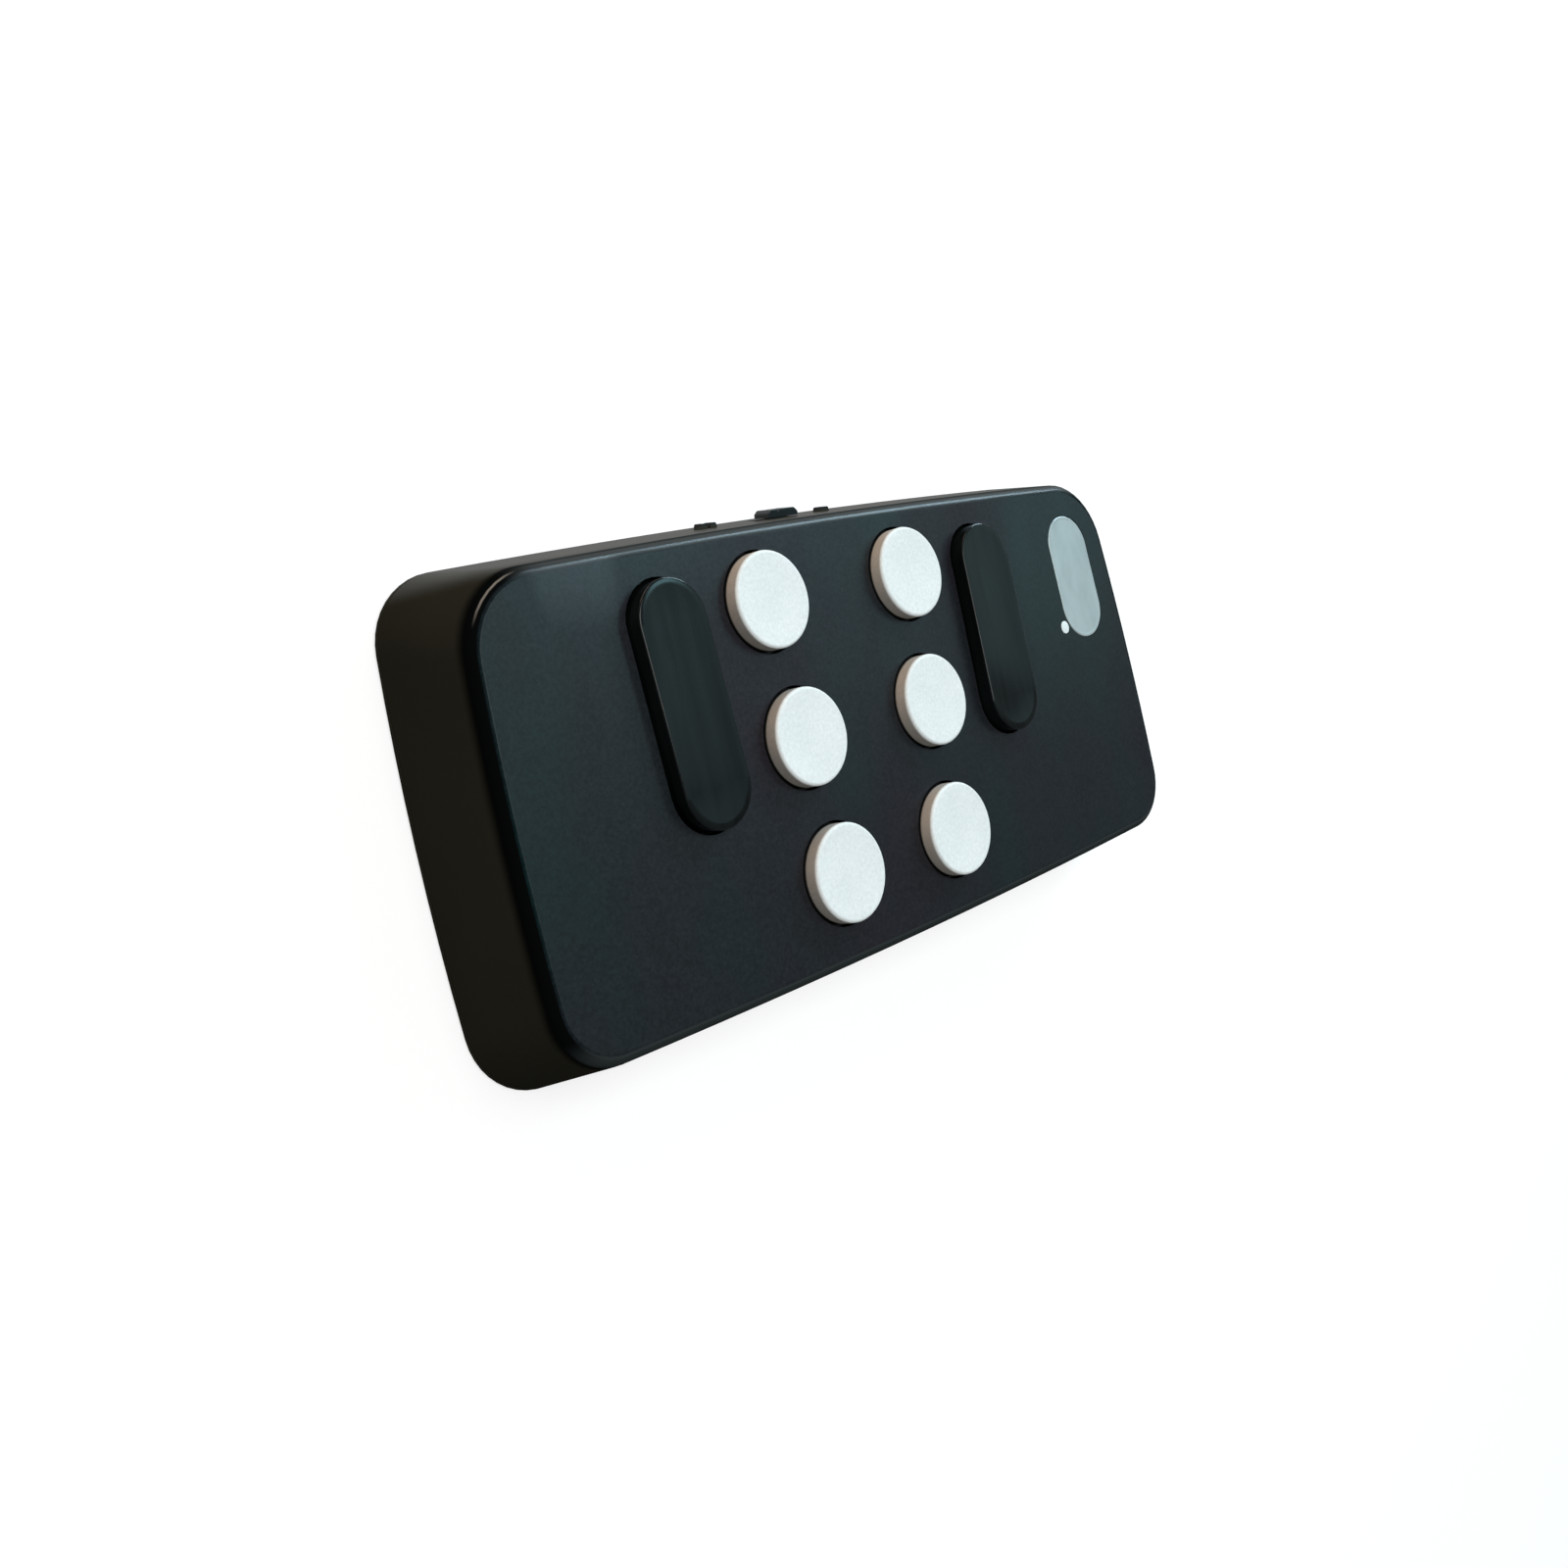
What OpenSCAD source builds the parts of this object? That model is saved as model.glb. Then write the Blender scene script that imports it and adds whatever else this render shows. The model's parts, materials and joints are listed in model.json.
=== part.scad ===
// Pocket braille keyboard: a flat case with six round dot keys, two long side keys,
// a power slider on its upper edge, a charging port and a flat back to rest on.
// X runs along the case, Y towards the edge with the slider, Z out of the face with the keys.
// The origin is the middle of the rear cover's flat back. All sizes are in millimetres.

/* [Case] */
// Plain end of the face beyond the left long key
left_grip = 18.8; // [16:0.1:26]
// Plain end of the face beyond the right long key
right_grip = 24.5; // [20:0.1:30]
// How far the keys sit above the case's middle
keys_up = 0.7; // [0:0.1:1.2]
// Depth of the case without its keys
case_d = 12.7; // [12.4:0.1:15]
// Radius of the face's two upper corners
face_corner_r = 8.3; // [6:0.1:11]
// Radius of the face's two lower corners
lower_corner_r = 6.7; // [5:0.1:9]
// Radius of the back's four corners
back_corner_r = 7.5; // [5:0.1:9]
// How far the long sides bow out
long_bow = 0.9; // [0.3:0.1:1.4]
// How far the short sides bow out
short_bow = 1.1; // [0.3:0.1:1.6]
// Thickness of the side walls
wall_t = 1.5; // [1.2:0.1:2]
// Thickness of the face that the keys come through
face_t = 1.6; // [1.2:0.1:2]
// Thickness of the rear cover
cover_t = 1.8; // [1.6:0.1:2.1]
// How far the long sides lean in between the back and the face
side_draft = 2.3; // [1:0.05:2.8]
// How far the short sides lean in between the back and the face
end_draft = 1.9; // [0.8:0.05:2.4]
// Radius of the edge round the face
face_edge_r = 1; // [0.3:0.1:1.4]
// Radius of the edge round the back
back_edge_r = 0.5; // [0.3:0.1:1]
// Depth of the groove where the rear cover meets the front shell
seam = 0.1; // [0.05:0.05:0.2]

/* [Keys] */
// Diameter of a round key
round_key_d = 10.4; // [9:0.1:12]
// Height of a round key above the face
round_key_proud = 1.65; // [1:0.05:2.4]
// Radius of a round key's upper edge
round_key_edge = 0.2; // [0.1:0.05:0.5]
// Space between neighbouring keys of one column
row_gap = 4.3; // [3:0.1:6]
// Space between the two columns at the middle row
column_gap = 10.4; // [9:0.1:16]
// Lean of the columns, in degrees
lean = 3.75; // [0:0.25:5]
// Lean of the long keys, in degrees
long_lean = 2.25; // [0:0.25:5]
// Space between a column and the long key beside it
key_space = 5.05; // [4:0.05:8]
// Width of a long key
long_key_w = 8.8; // [7:0.1:11]
// Length of a long key
long_key_l = 25.2; // [22:0.1:30]
// Height of a long key above the face
long_key_proud = 1.7; // [1:0.05:2.4]
// Bevel of a long key's upper edge
long_key_edge = 0.25; // [0.1:0.05:0.5]
// Space between a long key's upper end and the case's long edge
long_key_margin = 6.2; // [5:0.1:8]
// Travel of every key
key_travel = 0.8; // [0.4:0.1:1]
// Gap round each key in its hole
key_gap = 0.3; // [0.15:0.05:0.4]
// Width of the rim that holds each key in the case
key_rim = 0.8; // [0.6:0.1:1.1]
// Thickness of that rim
key_rim_t = 0.9; // [0.7:0.1:1.2]
// Thickness of a key's top
key_top_t = 1.4; // [0.8:0.1:1.8]
// Thickness of a key's skirt
key_skirt_t = 1; // [0.7:0.1:1.3]

/* [Power slider] */
// Length of the slider's knob
knob_l = 4.7; // [3.4:0.1:6]
// Height of the knob along the case's depth
knob_h = 2.4; // [2.2:0.1:3]
// How far the knob stands out of the case
knob_proud = 0.9; // [0.7:0.1:1.6]
// Travel of the slider
slider_travel = 3; // [2:0.1:3.4]
// Distance of the pair of raised marks from the slider's middle
pair_x = 9.6; // [8:0.1:12]
// Distance of the single raised mark from the slider's middle
single_x = 9.1; // [7:0.1:12]
// How far the marks stand out of the case
mark_proud = 0.5; // [0.3:0.1:1]

/* [Badge and status light] */
// Width of the badge
badge_w = 8.3; // [6:0.1:10]
// Length of the badge
badge_l = 16; // [12:0.1:20]
// Thickness of the badge
badge_t = 0.6; // [0.4:0.05:0.8]
// Space between the badge and the end of the case
badge_end = 6.45; // [4.5:0.05:8]
// Space between the badge and the case's upper edge
badge_margin = 7; // [5:0.1:9]
// Diameter of the status light
light_d = 1.6; // [1:0.1:2]

/* [Inside] */
// Thickness of the circuit board
board_t = 1; // [0.8:0.1:1.3]
// Width of a key switch
switch_w = 6.2; // [5.4:0.1:7]
// Length of the battery cell
cell_l = 46; // [36:1:50]
// Height of the battery cell along Y
cell_w = 27; // [20:1:30]
// Thickness of the battery cell
cell_t = 2.4; // [2:0.1:2.8]
// Radius of a screw boss
boss_r = 2.5; // [2.2:0.1:2.8]
// Distance of the case screws from the case's edges
boss_inset = 7; // [6:0.1:8]

/* [Hidden] */
$fn = 48;

// Clearances
slip = 0.1;
snug = 0.05;
board_gap = 0.5;
rim_wall_gap = 0.55;
press_room = 0.3;
dome_gap = 0.02;
guide_gap = 0.08;
sink = 0.5;

// Plan of the keys and the case
key_r = round_key_d / 2;
row_pitch = round_key_d + row_gap;
column_x = (round_key_d + column_gap) / 2;
long_r = long_key_w / 2;
long_half = long_key_l / 2 - long_r;
long_x = column_x + key_r + key_space + long_r;
half_w = long_x + long_r + (left_grip + right_grip) / 2 + end_draft;
half_h = keys_up + row_pitch + key_r + key_rim + rim_wall_gap + wall_t + side_draft;
keys_x = (left_grip - right_grip) / 2;
long_y = half_h - long_key_margin - long_key_l / 2;
side_angle = atan(side_draft / case_d);
function side_wall(z) = half_h - side_draft * z / case_d;

// Levels, from the face down
face_in = case_d - face_t;
rim_top = face_in - snug;
rim_low = rim_top - key_rim_t;
switch_top = rim_low - key_travel - press_room;
switch_floor_t = 0.4;
switch_lid_t = 0.4;
dome_h = key_travel + snug;
collar_t = 0.4;
collar_low = switch_floor_t + dome_h + dome_gap;
switch_h = collar_low + collar_t + slip + switch_lid_t;
board_top = switch_top - switch_h;
board_low = board_top - board_t;

// Key switches
plunger_r = 1.7;
collar_r = 2.3;
well_r = 2.7;
dome_r = 2.5;
dome_t = 0.12;
stem_r = 1.6;
guide_r = 1;
guide_bore_r = guide_r + guide_gap;
guide_bush_r = 2;
guide_y = long_half - guide_bush_r;

// Case screws and board screws
post_h = 1;
boss_low = cover_t + post_h;
boss_x = half_w - boss_inset;
boss_y = half_h - boss_inset;
screw_r = 1;
screw_head_r = 1.9;
screw_head_h = 1.1;
screw_recess = 0.1;
screw_end = 0.8;
screw_l = face_in - boss_low - screw_end;
stand_r = 2.2;
stand_edge = 2;
board_screw_r = 0.8;
board_screw_head_r = 1.5;
board_screw_head_h = 1;
board_screw_l = face_in - board_top - screw_end;
thread_gap = 0.02;

// Circuit board
board_half_w = boss_x - boss_r - board_gap;
lean_shift = long_key_l / 2 * sin(long_lean);
stand_x = abs(keys_x) + long_x + long_r + key_rim + lean_shift + board_gap + stand_r;

// Rear cover: its outside ends just above the back's round edge
lip_t = 1;
lip_gap = 0.15;
cover_edge = back_edge_r + 2 * seam;

// Charging port: the standard receptacle's outer and inner size
usb_x = keys_x + long_x;
usb_w = 8.94;
usb_h = 3.16;
usb_skin = 0.3;
usb_l = 7.3;
usb_recess = 0.7;
usb_y = half_h - long_bow - usb_recess;
usb_z = board_low - usb_h / 2;
usb_low = board_low - usb_h;
usb_tongue_w = 6.7;
usb_tongue_t = 0.7;
usb_tongue_recess = 0.8;
usb_block_l = 2;
usb_gap = 0.35;

// Power slider
slide_body = [8.6, 3.6, 2];
knob_x = keys_x + slider_travel / 2;
knob_z = board_low - slide_body[2] / 2;
knob_bevel = 0.5;
knob_notch = 0.35;
neck = [2, 1.6];
lever = [1, 0.8];
lever_grip = 1.2;
retainer_t = 0.8;
retainer_wing = 0.7;
retainer_l = 2 * (slider_travel + neck[0] / 2 + 2 * lip_gap);
retainer_top = knob_z + neck[1] / 2 + retainer_wing;
retainer_y = side_wall(retainer_top) - wall_t - 2 * lip_gap - retainer_t;
slide_front_y = retainer_y - board_gap;
mark_h = 1.2;
mark_w = 1;
single_w = 1.5;
mark_pitch = 1.4;
mark_bevel = 0.15;

// The board's long edges stay clear of the bowed walls and of the slider
board_half_h = min(side_wall(board_top) - wall_t - long_bow, retainer_y) - board_gap;
stand_y = board_half_h - stand_r - stand_edge;

// Badge and status light
badge_x = half_w - badge_end - badge_w / 2;
badge_y = half_h - badge_margin - badge_l / 2;
badge_half = (badge_l - badge_w) / 2;
badge_gap = 0.06;
light_r = light_d / 2;
light_space = 0.35;
light_angle = 205;
light_reach = badge_w / 2 + light_space + light_r;
light_x = badge_x + light_reach * cos(light_angle);
light_y = badge_y - badge_half + light_reach * sin(light_angle);
light_collar_r = 1.5;
light_collar_t = 1.2;
led = [1.6, 0.8, 0.6];
led_gap = 0.2;

// Battery and its plug
pad_t = 0.2;
pad_margin = 4;
cell_x = -8;
cell_y = -3.5;
cell_low = cover_t + pad_t;
lead_l = 2.6;
lead_r = 0.4;
lead_pitch = 1.5;
plug = [3.2, 4, 2.2];
socket = [3.6, 5, 2.4];
cell_end = cell_x + cell_l / 2;
plug_x = cell_end + lead_l;
plug_z = board_low - socket[2] / 2;
lead_z = min(plug_z, cell_low + cell_t - lead_r);

// Chips and the vibration motor
radio = [8, 12, 2];
radio_edge = 1;
radio_x = board_half_w - radio[0] / 2 - radio_edge;
radio_y = stand_r + board_gap + radio[1] / 2 - stand_y;
chip = [6, 6, 0.9];
charge_chip = [3, 3, 0.8];
charge_y = usb_y - usb_l - charge_chip[1];
capacitor = [1, 0.6, 0.5];
motor_r = 4;
motor_h = 2.7;
motor_y = -3;

// Fineness of the case's outline and edges
corner_steps = 10;
long_steps = 14;
short_steps = 8;
edge_steps = 6;
end_steps = 16;

// Colours
shell_black = [0.10, 0.12, 0.13];
gloss_black = [0.05, 0.06, 0.06];
key_white = [0.89, 0.92, 0.92];
silver = [0.70, 0.74, 0.75];
board_green = [0.05, 0.30, 0.16];
steel = [0.62, 0.63, 0.65];
dark_grey = [0.18, 0.18, 0.19];

DOT_PLACES = ["left_top", "left_middle", "left_bottom", "right_top", "right_middle", "right_bottom"];
LONG_PLACES = ["left_long", "right_long"];
PLACES = concat(DOT_PLACES, LONG_PLACES);
FIXED_NODES = [
    "front_shell", "rear_cover", "badge", "light_pipe", "status_led", "case_screws", "board_screws",
    "circuit_board", "radio_module", "main_chip", "charge_chip", "board_components", "vibration_motor",
    "battery_cell", "battery_pad", "battery_plug", "battery_socket", "battery_lead_red",
    "battery_lead_black", "usb_shell", "usb_tongue", "power_switch_body", "power_switch_lever",
    "power_knob", "guide_bushes"
];

// Places of the six round keys, then of the two long ones
function side_of(i) = (i < 3 || i == 6) ? -1 : 1;
function dot_y(i) = (1 - i % 3) * row_pitch;
function key_place(i) = i < 6
    ? [keys_x + side_of(i) * (column_x + dot_y(i) * tan(lean)), keys_up + dot_y(i)]
    : [keys_x + side_of(i) * long_x, long_y];

// Points on an arc, without its last one
function arc(c, r, from, to, steps) = [
    for (k = [0 : steps - 1])
        let (a = from + (to - from) * k / steps)
            [c[0] + r * cos(a), c[1] + r * sin(a)]
];

// The case's outline is eight arcs that run into each other: four bowed sides and four corners.
// Each corner's circle touches both of its sides.
long_arc_r = (half_w * half_w + long_bow * long_bow) / (2 * long_bow);
short_arc_r = (half_h * half_h + short_bow * short_bow) / (2 * short_bow);
long_c = [0, half_h - long_arc_r];
short_c = [half_w - short_arc_r, 0];
function crossing(a, ra, b, rb) =
    let (
        d = norm(b - a),
        along = (d * d + ra * ra - rb * rb) / (2 * d),
        across = sqrt(ra * ra - along * along),
        u = (b - a) / d
    )
    [a[0] + along * u[0] - across * u[1], a[1] + along * u[1] + across * u[0]];

function slope(from, to) = atan2(to[1] - from[1], to[0] - from[0]);

function case_outline(end_inset, side_inset, upper_r, lower_r) =
    let (
        rs = short_arc_r - end_inset,
        rl = long_arc_r - side_inset,
        upper = crossing(short_c, rs - upper_r, long_c, rl - upper_r),
        lower = crossing(short_c, rs - lower_r, long_c, rl - lower_r),
        from = slope(short_c, upper),
        to = slope(long_c, upper),
        low_from = slope(short_c, lower),
        low_to = slope(long_c, lower)
    )
    concat(
        arc(short_c, rs, -low_from, from, short_steps),
        arc(upper, upper_r, from, to, corner_steps),
        arc(long_c, rl, to, 180 - to, long_steps),
        arc([-upper[0], upper[1]], upper_r, 180 - to, 180 - from, corner_steps),
        arc(-short_c, rs, 180 - from, 180 + low_from, short_steps),
        arc(-lower, lower_r, 180 + low_from, 180 + low_to, corner_steps),
        arc(-long_c, rl, 180 + low_to, 360 - low_to, long_steps),
        arc([lower[0], -lower[1]], lower_r, 360 - low_to, 360 - low_from, corner_steps)
    );

// The case's ring at a height. Towards the face the walls lean in and the corners change their radius.
function corner_at(face_r, up) = back_corner_r + (face_r - back_corner_r) * up;

function case_ring(z, inset) =
    let (up = z / case_d)
    lifted(case_outline(end_draft * up + inset, side_draft * up + inset,
                        corner_at(face_corner_r, up) - inset, corner_at(lower_corner_r, up) - inset), z);

// A slot with round ends, its length along Y
function slot_outline(r, half) = concat(
    arc([0, half], r, 0, 180, end_steps),
    arc([0, -half], r, 180, 360, end_steps)
);

function lifted(outline, z) = [for (p = outline) [p[0], p[1], z]];

// A skin over rings of equally many points, from the lowest to the highest
module loft(rings) {
    n = len(rings[0]);
    top = (len(rings) - 1) * n;
    sides = [
        for (i = [0 : len(rings) - 2], k = [0 : n - 1])
            let (a = i * n + k, b = i * n + (k + 1) % n)
                each [[a, a + n, b + n], [a, b + n, b]]
    ];
    low_cap = [for (k = [0 : n - 1]) k];
    top_cap = [for (k = [n - 1 : -1 : 0]) top + k];
    polyhedron(points = [for (ring = rings) each ring], faces = concat([low_cap, top_cap], sides));
}

module slot_prism(r, half, h) {
    linear_extrude(h) polygon(slot_outline(r, half));
}

module at_key(i) {
    p = key_place(i);
    translate([p[0], p[1], 0]) rotate(i < 6 ? 0 : -side_of(i) * long_lean) children();
}

module at_four(x, y) {
    for (sx = [-1, 1], sy = [-1, 1]) translate([sx * x, sy * y, 0]) children();
}

module at_status_light() {
    translate([light_x, light_y, 0]) children();
}

// The port's mouth is in the lower long side
module at_usb() {
    translate([usb_x, -usb_y, usb_z]) rotate([-90, 0, 0]) rotate([0, 0, 90]) children();
}

// On the outside of the upper long side, at the slider's height
module at_slider_wall(x) {
    translate([x, side_wall(knob_z), knob_z]) rotate([side_angle, 0, 0]) children();
}

// A block whose middle is at x, y and whose underside is at z
module block(size, x, y, z) {
    translate([x - size[0] / 2, y - size[1] / 2, z]) cube(size);
}

// A bar along X with sloping ends, standing out along +Y from y = 0
module bar(l, h, proud, bevel) {
    translate([0, 0, -h / 2])
        linear_extrude(h)
            polygon([[-l / 2, -sink], [l / 2, -sink], [l / 2, 0], [l / 2 - bevel, proud],
                     [-l / 2 + bevel, proud], [-l / 2, 0]]);
}

// The front shell, with the holes that the keys, light and slider come through

shell_rings = concat(
    [case_ring(cover_edge, seam), case_ring(cover_edge + seam, 0)],
    [
        for (k = [0 : edge_steps])
            let (a = 90 * k / edge_steps)
                case_ring(case_d - face_edge_r * (1 - sin(a)), face_edge_r * (1 - cos(a)))
    ]
);

module shell_body() {
    difference() {
        loft(shell_rings);
        loft([case_ring(cover_edge - sink, wall_t), case_ring(face_in, wall_t)]);
    }
    at_four(boss_x, boss_y)
        translate([0, 0, boss_low]) cylinder(r = boss_r, h = face_in - boss_low + sink);
    at_four(stand_x, stand_y)
        translate([0, 0, board_top]) cylinder(r = stand_r, h = face_in - board_top + sink);
    for (x = [-pair_x - mark_pitch / 2, -pair_x + mark_pitch / 2])
        at_slider_wall(keys_x + x) bar(mark_w, mark_h, mark_proud, mark_bevel);
    at_slider_wall(keys_x + single_x) bar(single_w, mark_h, mark_proud, mark_bevel);
}

module front_shell() {
    color(shell_black)
    difference() {
        shell_body();
        for (i = [0 : 5])
            at_key(i)
                translate([0, 0, face_in - sink]) cylinder(r = key_r + key_gap, h = face_t + 2 * sink);
        for (i = [6, 7])
            at_key(i)
                translate([0, 0, face_in - sink])
                    slot_prism(long_r + key_gap, long_half, face_t + 2 * sink);
        at_four(boss_x, boss_y)
            translate([0, 0, boss_low - sink])
                cylinder(r = screw_r + thread_gap, h = screw_l + sink);
        at_four(stand_x, stand_y)
            translate([0, 0, board_top - sink])
                cylinder(r = board_screw_r + thread_gap, h = board_screw_l + sink);
        translate([badge_x, badge_y, case_d - badge_t])
            slot_prism(badge_w / 2 + badge_gap, badge_half, badge_t + sink);
        at_status_light()
            translate([0, 0, face_in - sink]) cylinder(r = light_r + snug, h = face_t + 2 * sink);
        block([slider_travel + neck[0] + 2 * lip_gap, 2 * wall_t + 2 * sink, neck[1] + 2 * slip],
              keys_x, side_wall(knob_z) - wall_t, knob_z - neck[1] / 2 - slip);
        at_usb()
            translate([0, 0, -usb_recess - long_bow - sink])
                slot_prism(usb_h / 2 + usb_gap, (usb_w - usb_h) / 2, usb_l);
    }
}

// The rear cover, with the lip that locates it and a post under each screw boss

cover_rings = concat(
    [
        for (k = [0 : edge_steps])
            let (a = 90 * k / edge_steps)
                case_ring(back_edge_r * (1 - cos(a)), back_edge_r * (1 - sin(a)))
    ],
    [case_ring(cover_edge - seam, 0), case_ring(cover_edge, seam)]
);

// The cover's thick middle and the lip round it, which both fit inside the front shell's walls
module inner_plate() {
    outside = wall_t + lip_gap;
    inside = outside + lip_t;
    difference() {
        loft([case_ring(cover_edge / 2, outside), case_ring(boss_low, outside)]);
        loft([case_ring(cover_t, inside), case_ring(boss_low + sink, inside)]);
        block([usb_w + 2 * board_gap, 4 * lip_t + 2 * long_bow, 2 * post_h],
              usb_x, wall_t - half_h, cover_t);
        block([retainer_l + slider_travel + 2 * board_gap, 4 * lip_t + 2 * long_bow, 2 * post_h],
              keys_x, half_h - wall_t, cover_t);
    }
}

module rear_cover() {
    color(shell_black)
    difference() {
        union() {
            loft(cover_rings);
            inner_plate();
            at_four(boss_x, boss_y)
                translate([0, 0, cover_t - sink]) cylinder(r = boss_r, h = post_h + sink);
        }
        at_four(boss_x, boss_y) {
            translate([0, 0, -sink])
                cylinder(r = screw_head_r + 2 * slip, h = screw_head_h + screw_recess + sink);
            cylinder(r = screw_r + lip_gap, h = boss_low + sink);
        }
        // Room for the charging port in a shallow case
        block([usb_w + 2 * board_gap, usb_l + 2 * board_gap, cover_t],
              usb_x, usb_l / 2 - usb_y, usb_low - slip);
    }
}

// Case screws go in from the back, with a cross in each head
module case_screws() {
    slot = [2.2, 0.5, 0.6];
    color(steel)
    at_four(boss_x, boss_y)
        translate([0, 0, screw_recess])
            difference() {
                union() {
                    cylinder(r = screw_head_r, h = screw_head_h);
                    cylinder(r = screw_r, h = screw_head_h + screw_l - post_h);
                }
                for (turn = [0, 90])
                    rotate(turn) block([slot[0], slot[1], 2 * slot[2]], 0, 0, -slot[2]);
            }
}

module board_screws() {
    color(steel)
    at_four(stand_x, stand_y) {
        translate([0, 0, board_low - board_screw_head_h])
            cylinder(r = board_screw_head_r, h = board_screw_head_h);
        translate([0, 0, board_low - board_screw_head_h / 2])
            cylinder(r = board_screw_r, h = board_screw_head_h / 2 + board_t + board_screw_l - slip);
    }
}

module badge() {
    color(silver)
    translate([badge_x, badge_y, case_d - badge_t]) slot_prism(badge_w / 2, badge_half, badge_t);
}

// The status light's pipe hangs by its collar under the face, over the light itself
module light_pipe() {
    foot = board_top + led[2] + led_gap;
    color("white")
    at_status_light() {
        translate([0, 0, foot]) cylinder(r = light_r, h = case_d - foot);
        translate([0, 0, face_in - light_collar_t]) cylinder(r = light_collar_r, h = light_collar_t);
    }
}

module status_led() {
    color("ivory") block(led, light_x, light_y, board_top);
}

module circuit_board() {
    color(board_green)
    difference() {
        block([2 * board_half_w, 2 * board_half_h, board_t], 0, 0, board_low);
        at_four(stand_x, stand_y)
            translate([0, 0, board_low - sink])
                cylinder(r = board_screw_r + lip_gap, h = board_t + 2 * sink);
    }
}

// Chips on the board

module radio_module() {
    color(steel) block(radio, -radio_x, radio_y, board_top);
}

module main_chip() {
    color(dark_grey) block(chip, keys_x, 0, board_top);
}

module charge_chip_body() {
    color(dark_grey) block(charge_chip, usb_x, -charge_y, board_low - charge_chip[2]);
}

// Small capacitors and resistors in two rows beside the main chip
module board_components() {
    rows = chip[1] / 2 + 2 * capacitor[1];
    step = 2 * capacitor[0];
    color("tan")
    for (column = [-2 : 2], s = [-1, 1])
        block(capacitor, keys_x + column * step, s * rows, board_top);
}

module vibration_motor() {
    color(steel)
    translate([stand_x, motor_y, board_low - motor_h]) cylinder(r = motor_r, h = motor_h);
}

// Battery, stuck to the rear cover, and its plug under the board

module battery_cell() {
    color("silver")
    block([cell_l, cell_w, cell_t], cell_x, cell_y, cell_low);
}

module battery_pad() {
    color("khaki")
    block([cell_l - pad_margin, cell_w - pad_margin, pad_t], cell_x, cell_y, cover_t);
}

module battery_plug() {
    color("ivory")
    block(plug, plug_x + plug[0] / 2, cell_y, plug_z - plug[2] / 2);
}

module battery_socket() {
    color("ivory")
    block(socket, plug_x + plug[0] + socket[0] / 2, cell_y, board_low - socket[2]);
}

module battery_lead(s) {
    translate([cell_end, cell_y + s * lead_pitch / 2, lead_z])
        rotate([0, 90, 0]) cylinder(r = lead_r, h = lead_l);
}

module battery_lead_red() {
    color("red") battery_lead(1);
}

module battery_lead_black() {
    color(gloss_black) battery_lead(-1);
}

// Charging port under the board's edge: a drawn steel shell with a contact tongue in it

module usb_shell() {
    color(steel)
    at_usb()
        difference() {
            slot_prism(usb_h / 2, (usb_w - usb_h) / 2, usb_l);
            translate([0, 0, -sink])
                slot_prism(usb_h / 2 - usb_skin, (usb_w - usb_h) / 2, usb_l + 2 * sink);
        }
}

module usb_tongue() {
    color(dark_grey)
    at_usb() {
        translate([0, 0, usb_l - usb_block_l])
            slot_prism(usb_h / 2 - usb_skin, (usb_w - usb_h) / 2, usb_block_l);
        translate([-usb_tongue_t / 2, -usb_tongue_w / 2, usb_tongue_recess])
            cube([usb_tongue_t, usb_tongue_w, usb_l - usb_tongue_recess - usb_block_l / 2]);
    }
}

// Power slider: the knob outside the wall carries the lever of a slide switch under the board

module power_switch_body() {
    color(steel)
    difference() {
        block(slide_body, keys_x, slide_front_y - slide_body[1] / 2, board_low - slide_body[2]);
        block([lever[0] + slider_travel + 4 * slip, 2 * lever_grip + 2 * slip, lever[1] + 2 * slip],
              keys_x, slide_front_y, knob_z - lever[1] / 2 - slip);
    }
}

module power_switch_lever() {
    reach = lever_grip + retainer_y - slide_front_y + lever_grip;
    color(dark_grey)
    block([lever[0], reach, lever[1]], knob_x, slide_front_y - lever_grip + reach / 2,
          knob_z - lever[1] / 2);
}

module power_knob() {
    neck_l = side_wall(knob_z) + slip + sink - retainer_y;
    color(gloss_black)
    difference() {
        union() {
            at_slider_wall(knob_x)
                translate([0, slip + sink, 0]) bar(knob_l, knob_h, knob_proud - sink, knob_bevel);
            block([neck[0], neck_l, neck[1]], knob_x, retainer_y + neck_l / 2, knob_z - neck[1] / 2);
            block([retainer_l, retainer_t, neck[1] + 2 * retainer_wing],
                  knob_x, retainer_y + retainer_t / 2, knob_z - neck[1] / 2 - retainer_wing);
        }
        block([lever[0] + slip, 2 * (lever_grip + slip), lever[1] + slip],
              knob_x, retainer_y, knob_z - (lever[1] + slip) / 2);
        at_slider_wall(knob_x - knob_l / 6)
            translate([0, slip + knob_proud, 0])
                rotate([0, 0, 45]) cube([knob_notch, knob_notch, 2 * knob_h], center = true);
    }
}

// Keys

module round_key(i) {
    h = case_d + round_key_proud - rim_low;
    inner_r = key_r - key_skirt_t;
    edge = arc([key_r - round_key_edge, h - round_key_edge], round_key_edge, 0, 90, edge_steps);
    profile = concat(
        [[0, 0], [stem_r, 0], [stem_r, h - key_top_t], [inner_r, h - key_top_t], [inner_r, 0],
         [key_r + key_rim, 0], [key_r + key_rim, key_rim_t], [key_r, key_rim_t]],
        edge,
        [[key_r - round_key_edge, h], [0, h]]
    );
    color(key_white) at_key(i) translate([0, 0, rim_low]) rotate_extrude($fn = 96) polygon(profile);
}

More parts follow.
